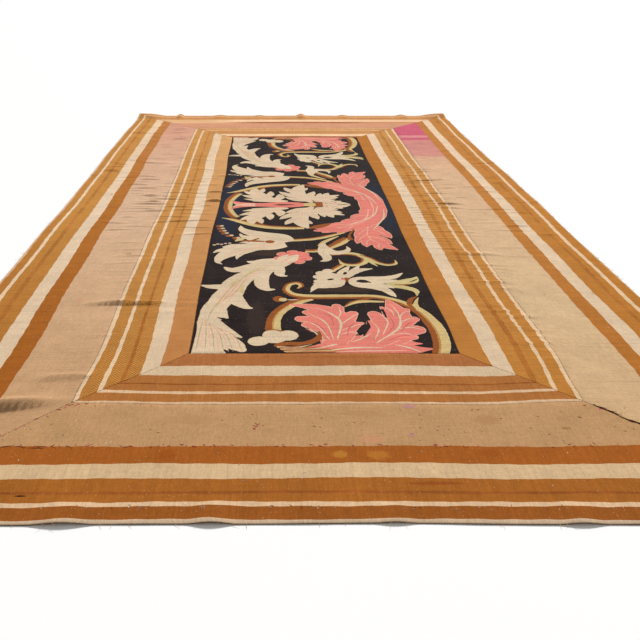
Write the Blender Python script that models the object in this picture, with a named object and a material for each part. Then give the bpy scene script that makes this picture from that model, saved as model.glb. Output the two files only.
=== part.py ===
"""A long flat-woven wool rug, laid out on a floor.

A dark panel in the middle carries the woven scroll design. Two rings of striped border
strips frame it. Each strip is a separate length of cloth, cut on the slant at both ends
and sewn to its neighbours. The cloth is 3 mm thick and lies flat but for its lifted far
corners, the ripples in its edges and a few soft folds.

X runs across the rug, Y along it and Z is up. The origin is the middle of the underside.
"""
import math

import bmesh
import bpy

# Driving sizes in metres
PANEL_WIDTH = 1.146
PANEL_LENGTH = 4.190
CLOTH_THICKNESS = 0.003
SEAM_GAP = 0.0003

# Border strips, from the panel outwards: side, inner strip's width, outer strip's width
STRIP_WIDTHS = {
    "near": (0.398, 0.650),
    "far": (0.418, 0.640),
    "left": (0.378, 0.653),
    "right": (0.392, 0.619),
}

# The corner where the outer strips' seam has come open, and how wide it gapes
OPEN_SEAM_CORNER = ("near", "right")
OPEN_SEAM_WIDTH = 0.004

# How fine each strip is cut up: rows across it, and the usual step along it
ROWS = {"inner": 3, "outer": 8}
LONG_STEP = 0.110
SHORTEST_STEP = 0.009
STEPS_PER_HALF_FOLD = 2.5

# Folds and lifted places, seen from above with the rug's middle as zero. Each row has
# x, y, direction in degrees, half length, half width, height
FOLDS = {
    "far left corner": (-1.600, 3.145, 0, 0.300, 0.260, 0.024),
    "far right corner": (1.600, 3.145, 0, 0.280, 0.240, 0.024),
    "far edge peak, left": (-1.163, 3.145, 90, 0.200, 0.045, 0.020),
    "far edge swell, left": (-0.743, 3.145, 90, 0.160, 0.090, 0.009),
    "far edge swell, middle": (-0.333, 3.145, 90, 0.140, 0.070, 0.006),
    "far edge peak, middle": (0.098, 3.145, 90, 0.220, 0.055, 0.020),
    "far edge swell, right": (0.535, 3.145, 90, 0.160, 0.065, 0.009),
    "far edge peak, right": (1.150, 3.145, 90, 0.180, 0.070, 0.013),
    "near edge ripple, left": (-0.825, -3.150, 90, 0.150, 0.110, 0.009),
    "near edge ripple, middle": (-0.385, -3.150, 90, 0.130, 0.080, 0.008),
    "near edge ripple, centre": (0.160, -3.150, 90, 0.110, 0.070, 0.005),
    "near edge ripple, right": (0.708, -3.150, 90, 0.120, 0.080, 0.007),
    "left border fold": (-1.260, -2.525, 12, 0.270, 0.062, 0.021),
    "left border crease": (-1.020, -2.305, 6, 0.120, 0.034, 0.007),
    "left border tuck": (-0.905, -1.590, 0, 0.215, 0.030, 0.011),
    "left border wrinkle": (-1.040, 0.205, -33, 0.150, 0.035, 0.006),
    "right border pucker, near": (0.945, -1.335, 0, 0.130, 0.026, 0.007),
    "right border pucker, middle": (0.950, -0.940, 0, 0.150, 0.030, 0.008),
    "right border pucker, far": (0.945, -0.070, 0, 0.140, 0.028, 0.007),
}

# How far the cloth's lines stray sideways: amplitude, wave length, phase
STRAY_ACROSS = ((0.0050, 2.70, 0.6), (0.0022, 0.94, 2.1))
STRAY_ALONG = ((0.0035, 2.10, 1.4), (0.0016, 0.77, 0.3))

# Plain colours, linear, for the solids: name, red, green, blue
COLOURS = {
    "charcoal": (0.021, 0.017, 0.019),
    "ochre": (0.480, 0.235, 0.080),
    "tan": (0.560, 0.350, 0.200),
}
ROUGHNESS = 0.95


def clear_scene():
    for old in list(bpy.data.objects):
        bpy.data.objects.remove(old, do_unlink=True)


def wool(colour):
    """A matt wool finish, shared by the pieces of one colour."""
    name = "wool_" + colour
    material = bpy.data.materials.get(name) or bpy.data.materials.new(name)
    material.use_nodes = True
    shader = material.node_tree.nodes["Principled BSDF"]
    shader.inputs["Base Color"].default_value = (*COLOURS[colour], 1.0)
    shader.inputs["Roughness"].default_value = ROUGHNESS
    shader.inputs["Metallic"].default_value = 0.0
    return material


def ring_edges(ring):
    """Where the panel's edge (ring 0), the strips' seam (1) and the rug's edge (2) lie."""
    added = {side: sum(widths[:ring]) for side, widths in STRIP_WIDTHS.items()}
    middle_x = (sum(STRIP_WIDTHS["left"]) - sum(STRIP_WIDTHS["right"])) / 2
    middle_y = (sum(STRIP_WIDTHS["near"]) - sum(STRIP_WIDTHS["far"])) / 2
    return {
        "left": middle_x - PANEL_WIDTH / 2 - added["left"],
        "right": middle_x + PANEL_WIDTH / 2 + added["right"],
        "near": middle_y - PANEL_LENGTH / 2 - added["near"],
        "far": middle_y + PANEL_LENGTH / 2 + added["far"],
    }


RINGS = [ring_edges(ring) for ring in range(3)]
ENDS = {"near": ("left", "right"), "far": ("left", "right"), "left": ("near", "far"), "right": ("near", "far")}


def bump(q, sharpness):
    """1 in the middle and 0 from q = 1 outwards, with no kink at either."""
    if abs(q) >= 1:
        return 0.0
    return (1 - abs(q) ** sharpness) ** 2


def lift(x, y):
    """Height of the cloth's underside above the floor."""
    height = 0.0
    for fold_x, fold_y, direction, half_length, half_width, fold_height in FOLDS.values():
        turn = math.radians(direction)
        along = (x - fold_x) * math.cos(turn) + (y - fold_y) * math.sin(turn)
        across = (y - fold_y) * math.cos(turn) - (x - fold_x) * math.sin(turn)
        height += fold_height * bump(along / half_length, 3) * bump(across / half_width, 2)
    return height


def stray(rows, distance):
    return sum(size * math.sin(2 * math.pi * distance / wave + phase) for size, wave, phase in rows)


def settle(x, y):
    """Where a point of the flat layout comes to lie."""
    return x + stray(STRAY_ACROSS, y), y + stray(STRAY_ALONG, x), lift(x, y)


def seam_coordinate(side, ring, share):
    """The strip's own distance from the rug's middle line, a share of the way across it."""
    inner = RINGS[ring][side]
    outer = RINGS[ring + 1][side]
    outward = 1 if outer > inner else -1
    inner += outward * SEAM_GAP / 2
    if ring == 0:
        outer -= outward * SEAM_GAP / 2
    return inner + share * (outer - inner)


def slanted_end(side, end, ring, share):
    """Where the strip's slanted end lies, a share of the way across the strip."""
    inner = RINGS[ring][end]
    outer = RINGS[ring + 1][end]
    outward = 1 if outer > inner else -1
    back = SEAM_GAP / 2 * math.sqrt(2)
    if ring == 1 and (side, end) == OPEN_SEAM_CORNER:
        back += OPEN_SEAM_WIDTH * math.sqrt(2) * bump(1.6 * share - 0.8, 2)
    return inner + share * (outer - inner) - outward * back


def strip_point(side, ring, share, along):
    """A point of the flat strip: share goes across it, along goes from end to end."""
    first, last = ENDS[side]
    fixed = seam_coordinate(side, ring, share)
    start = slanted_end(side, first, ring, share)
    stop = slanted_end(side, last, ring, share)
    moving = start + along * (stop - start)
    return (moving, fixed) if side in ("near", "far") else (fixed, moving)


def share_along(side, place, depth):
    """How far along a side a place lies, or None where it is on another side."""
    first, last = ENDS[side]
    inner, outer = RINGS[0][side], RINGS[2][side]
    across = (depth - inner) / (outer - inner)
    start = RINGS[0][first] + across * (RINGS[2][first] - RINGS[0][first])
    stop = RINGS[0][last] + across * (RINGS[2][last] - RINGS[0][last])
    along = (place - start) / (stop - start)
    return along if -0.05 <= across <= 1.05 and -0.05 <= along <= 1.05 else None


def fold_steps(side, fold, length):
    """Steps along a side that are close enough together to show one fold."""
    x, y, direction, half_length, half_width, height = fold
    turn = math.radians(direction)
    reach_x = abs(half_length * math.cos(turn)) + abs(half_width * math.sin(turn))
    reach_y = abs(half_length * math.sin(turn)) + abs(half_width * math.cos(turn))
    if side in ("near", "far"):
        along, reach, depth = share_along(side, x, y), reach_x, reach_y
    else:
        along, reach, depth = share_along(side, y, x), reach_y, reach_x
    if along is None:
        return []
    # The steps fan out towards the slanted ends, so they reach further from the fold there
    reach += abs(2 * along - 1) * depth
    count = math.ceil(reach / min(half_width, half_length) * STEPS_PER_HALF_FOLD)
    return [along + reach / length * step / count for step in range(-count, count + 1)]


def stations(side):
    """Steps along a side, from 0 to 1, close together at each fold and wide elsewhere."""
    first, last = ENDS[side]
    length = RINGS[2][last] - RINGS[2][first]
    count = round(length / LONG_STEP)
    steps = [step / count for step in range(1, count)]
    for fold in FOLDS.values():
        steps += fold_steps(side, fold, length)
    kept = [0.0]
    for along in sorted(steps):
        if SHORTEST_STEP < (along - kept[-1]) * length and SHORTEST_STEP < (1 - along) * length:
            kept.append(along)
    return kept + [1.0]


STATIONS = {side: stations(side) for side in STRIP_WIDTHS}


def grid_mesh(columns, rows):
    """A flat unit grid, and each point's whole-number column and row."""
    mesh = bmesh.new()
    bmesh.ops.create_grid(mesh, x_segments=columns, y_segments=rows, size=0.5)
    places = [(round((v.co.x + 0.5) * columns), round((v.co.y + 0.5) * rows)) for v in mesh.verts]
    return mesh, places


def give_thickness(mesh):
    """The surface is the underside: a copy of it, straight above, closes the cloth."""
    grown = bmesh.ops.extrude_face_region(mesh, geom=mesh.faces[:])["geom"]
    top = [part for part in grown if isinstance(part, bmesh.types.BMVert)]
    bmesh.ops.translate(mesh, verts=top, vec=(0, 0, CLOTH_THICKNESS))
    bmesh.ops.recalc_face_normals(mesh, faces=mesh.faces[:])


def cloth_object(name, mesh, colour, parent, collection):
    """One piece of cloth. The flat parts of it are merged into large faces."""
    data = bpy.data.meshes.new(name)
    mesh.to_mesh(data)
    mesh.free()
    data.materials.append(wool(colour))
    piece = bpy.data.objects.new(name, data)
    piece.parent = parent
    collection.objects.link(piece)
    flat = piece.modifiers.new("merge flat faces", "DECIMATE")
    flat.decimate_type = "DISSOLVE"
    flat.angle_limit = math.radians(0.03)
    return piece


def make_strip(side, ring_name, colour, parent, collection):
    """One border strip, cut on the slant at both ends."""
    ring = 0 if ring_name == "inner" else 1
    along = STATIONS[side]
    rows = ROWS[ring_name]
    mesh, places = grid_mesh(len(along) - 1, rows)
    for vertex, (column, row) in zip(mesh.verts, places):
        vertex.co = settle(*strip_point(side, ring, row / rows, along[column]))
    give_thickness(mesh)
    return cloth_object(f"{ring_name}_strip_{side}", mesh, colour, parent, collection)


def make_panel(parent, collection):
    """The middle panel, flat, with a point wherever the strips round it have one."""
    def edge(side):
        first, last = ENDS[side]
        outward = 1 if side in ("far", "right") else -1
        fixed = RINGS[0][side] - outward * SEAM_GAP / 2
        start = RINGS[0][first] + SEAM_GAP / 2
        stop = RINGS[0][last] - SEAM_GAP / 2
        moving = [start + along * (stop - start) for along in STATIONS[side]]
        return [(m, fixed) if side in ("near", "far") else (fixed, m) for m in moving]

    outline = edge("near")[:-1] + edge("right")[:-1] + edge("far")[:0:-1] + edge("left")[:0:-1]
    mesh = bmesh.new()
    corners = [mesh.verts.new(settle(*place)) for place in outline]
    mesh.faces.new(corners)
    give_thickness(mesh)
    return cloth_object("centre_panel", mesh, "charcoal", parent, collection)


def centre_on_origin(pieces, parent):
    """Moves the whole rug so that the origin is the middle of its underside."""
    corners = [vertex.co for piece in pieces for vertex in piece.data.vertices]
    for axis in (0, 1):
        values = [corner[axis] for corner in corners]
        parent.location[axis] = -(min(values) + max(values)) / 2


def main():
    clear_scene()
    collection = bpy.data.collections.new("aubusson_rug")
    bpy.context.scene.collection.children.link(collection)
    rug = bpy.data.objects.new("rug", None)
    collection.objects.link(rug)
    pieces = [make_panel(rug, collection)]
    for side in STRIP_WIDTHS:
        pieces.append(make_strip(side, "inner", "ochre", rug, collection))
        pieces.append(make_strip(side, "outer", "tan", rug, collection))
    centre_on_origin(pieces, rug)


main()
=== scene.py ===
import math
import random

import bpy
import numpy as np
from mathutils.geometry import delaunay_2d_cdt
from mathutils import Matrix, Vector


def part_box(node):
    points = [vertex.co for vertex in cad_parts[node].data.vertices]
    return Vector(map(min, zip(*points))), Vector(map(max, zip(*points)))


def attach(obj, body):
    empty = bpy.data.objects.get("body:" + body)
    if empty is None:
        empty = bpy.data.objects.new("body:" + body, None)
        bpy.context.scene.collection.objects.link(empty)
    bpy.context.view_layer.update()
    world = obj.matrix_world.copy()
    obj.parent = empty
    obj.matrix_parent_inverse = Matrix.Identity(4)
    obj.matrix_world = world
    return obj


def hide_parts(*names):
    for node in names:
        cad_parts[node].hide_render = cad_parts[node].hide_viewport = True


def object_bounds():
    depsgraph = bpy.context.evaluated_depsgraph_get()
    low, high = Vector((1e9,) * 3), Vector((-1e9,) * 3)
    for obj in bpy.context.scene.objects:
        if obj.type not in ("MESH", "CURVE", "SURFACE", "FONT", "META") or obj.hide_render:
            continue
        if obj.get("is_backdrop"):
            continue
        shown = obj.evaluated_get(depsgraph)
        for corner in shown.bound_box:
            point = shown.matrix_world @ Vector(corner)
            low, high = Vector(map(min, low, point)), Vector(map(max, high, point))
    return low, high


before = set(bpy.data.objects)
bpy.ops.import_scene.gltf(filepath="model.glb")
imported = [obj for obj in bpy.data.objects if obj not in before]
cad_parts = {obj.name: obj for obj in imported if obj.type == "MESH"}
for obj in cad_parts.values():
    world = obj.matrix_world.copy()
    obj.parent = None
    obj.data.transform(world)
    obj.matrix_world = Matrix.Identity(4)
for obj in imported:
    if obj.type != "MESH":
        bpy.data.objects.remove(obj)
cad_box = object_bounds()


# Floor, light and camera
# A plain pale floor under soft light. The camera stands off the rug's near end, at about
# the height of a standing person's chin, and looks down along it.
FLOOR_SIDE = 60.0
DAYLIGHT = 0.36
KEY_STRENGTH = 4.45
CAMERA_PLACE = (-0.212, -4.855, 1.494)
CAMERA_PITCH = 25.86
CAMERA_LENS = 42.0
CAMERA_SHIFT = 0.0766

scene = bpy.context.scene
scene.view_settings.view_transform = "Standard"
world = bpy.data.worlds.new("soft daylight")
world.use_nodes = True
world.node_tree.nodes["Background"].inputs["Color"].default_value = (1.0, 0.972, 0.93, 1)
world.node_tree.nodes["Background"].inputs["Strength"].default_value = DAYLIGHT
scene.world = world

key = bpy.data.objects.new("key light", bpy.data.lights.new("key light", "SUN"))
key.data.energy = KEY_STRENGTH
key.data.color = (0.99, 0.995, 1.0)
key.data.angle = math.radians(9)
key.rotation_euler = (math.radians(-60), 0, math.radians(-14))
scene.collection.objects.link(key)

camera = bpy.data.objects.new("camera", bpy.data.cameras.new("camera"))
camera.location = CAMERA_PLACE
camera.rotation_euler = (math.radians(90 - CAMERA_PITCH), 0, 0)
camera.data.lens = CAMERA_LENS
camera.data.shift_x = CAMERA_SHIFT
camera.data.clip_end = 200
scene.collection.objects.link(camera)
scene.camera = camera


def add(tree, kind, *values, out=0, **settings):
    """Adds a shader node. The values fill its inputs in order, and None leaves one alone."""
    made = tree.nodes.new("ShaderNode" + kind)
    for name, value in settings.items():
        setattr(made, name, value)
    for socket, value in zip(made.inputs, values):
        if isinstance(value, bpy.types.NodeSocket):
            tree.links.new(value, socket)
        elif value is not None:
            socket.default_value = value
    return made.outputs[out]


def noise(tree, place, stretch, detail=2.0):
    """Noise from 0 to 1, with stretch cells to a metre along each axis."""
    scaled = add(tree, "VectorMath", place, stretch, operation="MULTIPLY")
    return add(tree, "TexNoise", scaled, None, 1.0, detail, 0.6)


def linear(colour):
    """A colour as seen, 0 to 255, turned into the shader's own scale."""
    return tuple((c / 255) ** 2.2 for c in colour) + (1.0,)


def floor_finish():
    """Matt off-white board, with a barely seen unevenness."""
    made = bpy.data.materials.new("pale_floor")
    made.use_nodes = True
    tree = made.node_tree
    shader = tree.nodes["Principled BSDF"]
    place = add(tree, "TexCoord", out=3)
    cloudy = noise(tree, place, (0.7, 0.7, 0.7))
    colour = add(tree, "MixRGB", cloudy, (0.93, 0.93, 0.925, 1), (0.95, 0.95, 0.945, 1))
    tree.links.new(colour, shader.inputs["Base Color"])
    shader.inputs["Roughness"].default_value = 0.9
    shader.inputs["Specular IOR Level"].default_value = 0.1
    return made


bpy.ops.mesh.primitive_grid_add(x_subdivisions=8, y_subdivisions=8, size=FLOOR_SIDE)
floor = bpy.context.object
floor.name = "floor"
floor.location.z = -0.0005
floor.data.materials.append(floor_finish())
floor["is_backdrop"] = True


# Middle panel
# The rug's field: one length of tapestry-woven wool, charcoal, with scrolls, leaves and
# flowers in cream, pink, gold and brown weft. Its far half mirrors its near half.
PANEL_WIDTH = 1.146
PANEL_LENGTH = 4.190
CLOTH_THICKNESS = 0.003
SEAM_GAP = 0.0003
SEAM_DROP = 0.0013
SEAM_REACH = 0.004
STRIP_WIDTHS = {
    "near": (0.398, 0.650),
    "far": (0.418, 0.640),
    "left": (0.378, 0.653),
    "right": (0.392, 0.619),
}
# Folds and lifted places: x, y, direction in degrees, half length, half width, height
FOLDS = [
    (-1.600, 3.145, 0, 0.300, 0.260, 0.024),
    (1.600, 3.145, 0, 0.280, 0.240, 0.024),
    (-1.163, 3.145, 90, 0.200, 0.045, 0.020),
    (-0.743, 3.145, 90, 0.160, 0.090, 0.009),
    (-0.333, 3.145, 90, 0.140, 0.070, 0.006),
    (0.098, 3.145, 90, 0.220, 0.055, 0.020),
    (0.535, 3.145, 90, 0.160, 0.065, 0.009),
    (1.150, 3.145, 90, 0.180, 0.070, 0.013),
    (-0.825, -3.150, 90, 0.150, 0.110, 0.009),
    (-0.385, -3.150, 90, 0.130, 0.080, 0.008),
    (0.160, -3.150, 90, 0.110, 0.070, 0.005),
    (0.708, -3.150, 90, 0.120, 0.080, 0.007),
    (-1.260, -2.525, 12, 0.270, 0.062, 0.021),
    (-1.020, -2.305, 6, 0.120, 0.034, 0.007),
    (-0.905, -1.590, 0, 0.235, 0.030, 0.011),
    (-1.040, 0.205, -33, 0.150, 0.035, 0.006),
    (0.945, -1.335, 0, 0.130, 0.026, 0.007),
    (0.950, -0.940, 0, 0.150, 0.030, 0.008),
    (0.945, -0.070, 0, 0.140, 0.028, 0.007),
    # Small wrinkles, which only the dressed cloth has
    (-1.120, -2.508, 6, 0.220, 0.030, 0.0115),
    (-1.035, -2.298, 3, 0.130, 0.026, 0.0060),
    (-0.900, -1.592, 1, 0.260, 0.020, 0.0050),
    (-0.600, -1.600, -1, 0.240, 0.022, 0.0030),
    (-1.140, -2.300, -3, 0.130, 0.022, 0.0045),
    (-1.060, -2.370, 2, 0.100, 0.016, 0.0025),
    (-0.610, 0.300, 2, 0.075, 0.030, 0.0100),
    (-0.605, 0.085, -2, 0.080, 0.032, 0.0115),
    (-0.700, 0.190, 3, 0.110, 0.024, 0.0040),
    (-0.780, -0.110, 0, 0.120, 0.026, 0.0045),
    (-0.740, 0.930, -4, 0.130, 0.034, 0.0050),
    (-1.150, 1.150, -6, 0.160, 0.044, 0.0060),
    (-1.420, 2.300, 10, 0.130, 0.060, 0.0070),
    (-1.330, 1.620, 8, 0.150, 0.050, 0.0045),
    (-1.080, 0.071, 4, 0.150, 0.022, 0.0032),
    (-1.085, 0.017, -3, 0.140, 0.020, 0.0036),
    (-1.080, -0.037, 5, 0.150, 0.022, 0.0030),
    (-1.090, -0.078, -4, 0.130, 0.018, 0.0026),
    (-1.080, -0.136, 3, 0.150, 0.024, 0.0034),
    (-1.085, 2.470, 2, 0.100, 0.022, 0.0040),
    (-1.045, 2.007, -2, 0.100, 0.020, 0.0034),
    (-0.600, 0.076, 0, 0.050, 0.018, 0.0035),
    (0.900, -1.680, 3, 0.110, 0.022, 0.0034),
    (0.920, -0.240, -4, 0.110, 0.022, 0.0032),
    (0.940, 0.610, 5, 0.120, 0.024, 0.0036),
    (0.930, 1.140, -5, 0.110, 0.022, 0.0028),
    (-1.010, -1.060, 8, 0.120, 0.022, 0.0030),
    (-0.980, 1.310, -8, 0.130, 0.024, 0.0030),
]
# Corners of the seams that the sewing has drawn aside: x, y, reach, and how far
PULLS = [
    (-0.941, -2.498, 0.42, -0.016, 0.017),
    (0.975, -2.498, 0.42, -0.018, 0.024),
    (0.583, -2.100, 0.30, -0.010, 0.000),
]
# Puckers, where the cloth has shrunk unevenly: x from and to, y from and to, how many, height
PUCKERED = [
    (-0.98, -0.58, -0.6, 2.3, 64, 0.0048), (-1.22, -0.94, -0.5, 2.5, 42, 0.0064),
    (-1.58, -1.24, 0.6, 2.95, 34, 0.0064), (-1.0, -0.62, -2.1, -0.6, 18, 0.003),
    (0.76, 1.02, -2.0, 2.45, 84, 0.0054), (0.96, 1.18, -1.6, 2.4, 34, 0.0046),
    (1.24, 1.56, -0.6, 2.9, 40, 0.005), (0.6, 0.8, -0.5, 2.3, 24, 0.0036),
    (-1.24, -0.96, -2.35, -0.6, 12, 0.0034),
]
random.seed(5)
for x_from, x_to, y_from, y_to, count, height in PUCKERED:
    for k in range(count):
        pucker_y = y_from + (y_to - y_from) * (k + random.uniform(-0.4, 0.4)) / count
        size = height * random.uniform(0.35, 1.25)
        FOLDS.append((random.uniform(x_from, x_to), pucker_y, random.uniform(-7, 7),
                      random.uniform(0.05, 0.17), random.uniform(0.011, 0.021), size))
NEAR_SIDE_STEEPER = 1.35
FAR_SIDE_FLATTER = 0.92
DRAWN_SHARE = 0.8
MOST_DRAWN = 0.006
SHARPEST_SMOOTH = 50
# How the rug strays from straight, over its whole length and width: size, wave length, phase
STRAY_ACROSS = ((0.0050, 2.70, 0.6), (0.0022, 0.94, 2.1))
STRAY_ALONG = ((0.0035, 2.10, 1.4), (0.0016, 0.77, 0.3))


def ring_edges(ring):
    """Where the panel's edge (ring 0), the strips' seam (1) and the rug's edge (2) lie."""
    added = {side: sum(widths[:ring]) for side, widths in STRIP_WIDTHS.items()}
    middle_x = (sum(STRIP_WIDTHS["left"]) - sum(STRIP_WIDTHS["right"])) / 2
    middle_y = (sum(STRIP_WIDTHS["near"]) - sum(STRIP_WIDTHS["far"])) / 2
    return {
        "left": middle_x - PANEL_WIDTH / 2 - added["left"],
        "right": middle_x + PANEL_WIDTH / 2 + added["right"],
        "near": middle_y - PANEL_LENGTH / 2 - added["near"],
        "far": middle_y + PANEL_LENGTH / 2 + added["far"],
    }


RINGS = [ring_edges(ring) for ring in range(3)]


def bump(q, sharpness):
    """1 in the middle and 0 from q = 1 outwards, with no kink at either."""
    return (1 - np.minimum(np.abs(q), 1) ** sharpness) ** 2


def lift(x, y):
    """Height of the cloth's underside above the floor."""
    height = np.zeros_like(x)
    for fold_x, fold_y, direction, half_length, half_width, fold_height in FOLDS:
        reach = half_length + half_width
        near_by = (np.abs(x - fold_x) < reach) & (np.abs(y - fold_y) < reach)
        beside, ahead = x[near_by] - fold_x, y[near_by] - fold_y
        turn = math.radians(direction)
        along = beside * math.cos(turn) + ahead * math.sin(turn)
        across = ahead * math.cos(turn) - beside * math.sin(turn)
        if abs(direction) < 45:
            across *= np.where(across < 0, NEAR_SIDE_STEEPER, FAR_SIDE_FLATTER)
        height[near_by] += fold_height * bump(along / half_length, 3) * bump(across / half_width, 2)
    return height


def stray(rows, distance):
    """The sum of a few long waves along a distance."""
    return sum(size * np.sin(2 * math.pi * distance / wave + phase) for size, wave, phase in rows)


def edge_line(ring, gap, count=300):
    """Points round a ring's rectangle, drawn in by a gap."""
    low_x, high_x = RINGS[ring]["left"] + gap, RINGS[ring]["right"] - gap
    low_y, high_y = RINGS[ring]["near"] + gap, RINGS[ring]["far"] - gap
    x, y = np.linspace(low_x, high_x, count), np.linspace(low_y, high_y, count)
    whole = np.ones(count)
    around_x = np.hstack([x, x, whole * low_x, whole * high_x])
    around_y = np.hstack([whole * low_y, whole * high_y, y, y])
    return around_x, around_y


edge_x, edge_y = edge_line(0, SEAM_GAP / 2)
panel_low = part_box("centre_panel")[0]
SHIFT_X = panel_low.x - (edge_x + stray(STRAY_ACROSS, edge_y)).min()
SHIFT_Y = panel_low.y - (edge_y + stray(STRAY_ALONG, edge_x)).min()


def settle(x, y, extra):
    """Lays a flat layout down: the top and the underside of the cloth there."""
    lie_x = x + stray(STRAY_ACROSS, y) + SHIFT_X
    lie_y = y + stray(STRAY_ALONG, x) + SHIFT_Y
    for pull_x, pull_y, reach, along_x, along_y in PULLS:
        share = bump(np.hypot(x - pull_x, y - pull_y) / reach, 2)
        lie_x = lie_x + along_x * share
        lie_y = lie_y + along_y * share
    under = lift(x, y)
    # A lifted place draws the stripes aside a little
    inward = bump(x / 1.5, 6) * bump(y / 3.0, 6)
    lie_x = lie_x + DRAWN_SHARE * np.minimum(under, MOST_DRAWN) * inward
    top = np.column_stack([lie_x, lie_y, under + CLOTH_THICKNESS + extra])
    return top, np.column_stack([lie_x, lie_y, under])


def seam_shoulder(distance):
    """How far the top of the cloth rolls down beside a seam."""
    return -SEAM_DROP * np.clip(1 - distance / SEAM_REACH, 0, 1) ** 2


def laid_piece(name, mesh):
    """A finished mesh as one visible piece that lies with the rug."""
    piece = bpy.data.objects.new(name, mesh)
    scene.collection.objects.link(piece)
    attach(piece, "root")
    return piece


def cloth_piece(name, top, under, faces, yarns, finishes):
    """One closed piece of cloth from its top faces, with the same weft on its underside.
    The last finish is that of its raw sides, dark both as cut wool and as painted shade in the seam gaps."""
    count = len(top)
    faces = [tuple(int(v) for v in face) for face in faces]
    sides = {}
    for face, yarn in zip(faces, yarns):
        for a, b in zip(face, face[1:] + face[:1]):
            if sides.pop((b, a), None) is None:
                sides[(a, b)] = len(finishes) - 1
    closed = faces + [tuple(v + count for v in reversed(face)) for face in faces]
    closed += [(b, a, a + count, b + count) for a, b in sides]
    mesh = bpy.data.meshes.new(name)
    mesh.from_pydata(np.vstack([top, under]).tolist(), [], closed)
    finish_of_face = np.array(list(yarns) * 2 + list(sides.values()), dtype=np.int32)
    mesh.polygons.foreach_set("material_index", finish_of_face)
    mesh.polygons.foreach_set("use_smooth", np.ones(len(closed), dtype=bool))
    for finish in finishes:
        mesh.materials.append(finish)
    mesh.set_sharp_from_angle(angle=math.radians(SHARPEST_SMOOTH))
    return laid_piece(name, mesh)


RIB_PITCH = 0.0036
LINT = (238, 220, 194)
LINT_SHARE = 0.5
TWILL_PITCH = 0.015
TWILL_BLOCK = 0.030
RUG_REACH = 3.16


def dyed(tree, place, dye):
    """A yarn's dye: one colour, or one that changes along the rug at (y, colour) stops."""
    if not isinstance(dye, list):
        return linear(dye)
    along = add(tree, "SeparateXYZ", place, out=1)
    drift = add(tree, "Math", noise(tree, place, (3.1, 1.3, 1)), -0.5, operation="ADD")
    along = add(tree, "Math", drift, 0.05, along, operation="MULTIPLY_ADD")
    share = add(tree, "MapRange", along, -RUG_REACH, RUG_REACH, 0.0, 1.0)
    colour = add(tree, "ValToRGB", share)
    ramp = colour.node.color_ramp
    for row, (y, stop) in enumerate(dye):
        at = (y + RUG_REACH) / (2 * RUG_REACH)
        mark = ramp.elements[row] if row < 2 else ramp.elements.new(at)
        mark.position = at
        mark.color = linear(stop)
    return colour


def marks_and_painted_shade(tree, place, colour, rows):
    """Stains, stray knots and marks of painted shade: x, y, half width, half length, colour, strength."""
    ragged = noise(tree, place, (60, 60, 60), 3.0)
    for x, y, half_x, half_y, mark_colour, strength in rows:
        centred = add(tree, "VectorMath", place, (-x, -y, 0), operation="ADD")
        shape = add(tree, "VectorMath", centred, (1 / half_x, 1 / half_y, 0), operation="MULTIPLY")
        away = add(tree, "VectorMath", shape, operation="LENGTH", out=1)
        away = add(tree, "Math", ragged, 0.9, away, operation="MULTIPLY_ADD")
        cover = add(tree, "MapRange", away, 1.35, 0.95, 0.0, strength)
        colour = add(tree, "MixRGB", cover, colour, linear(mark_colour))
    return colour


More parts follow.
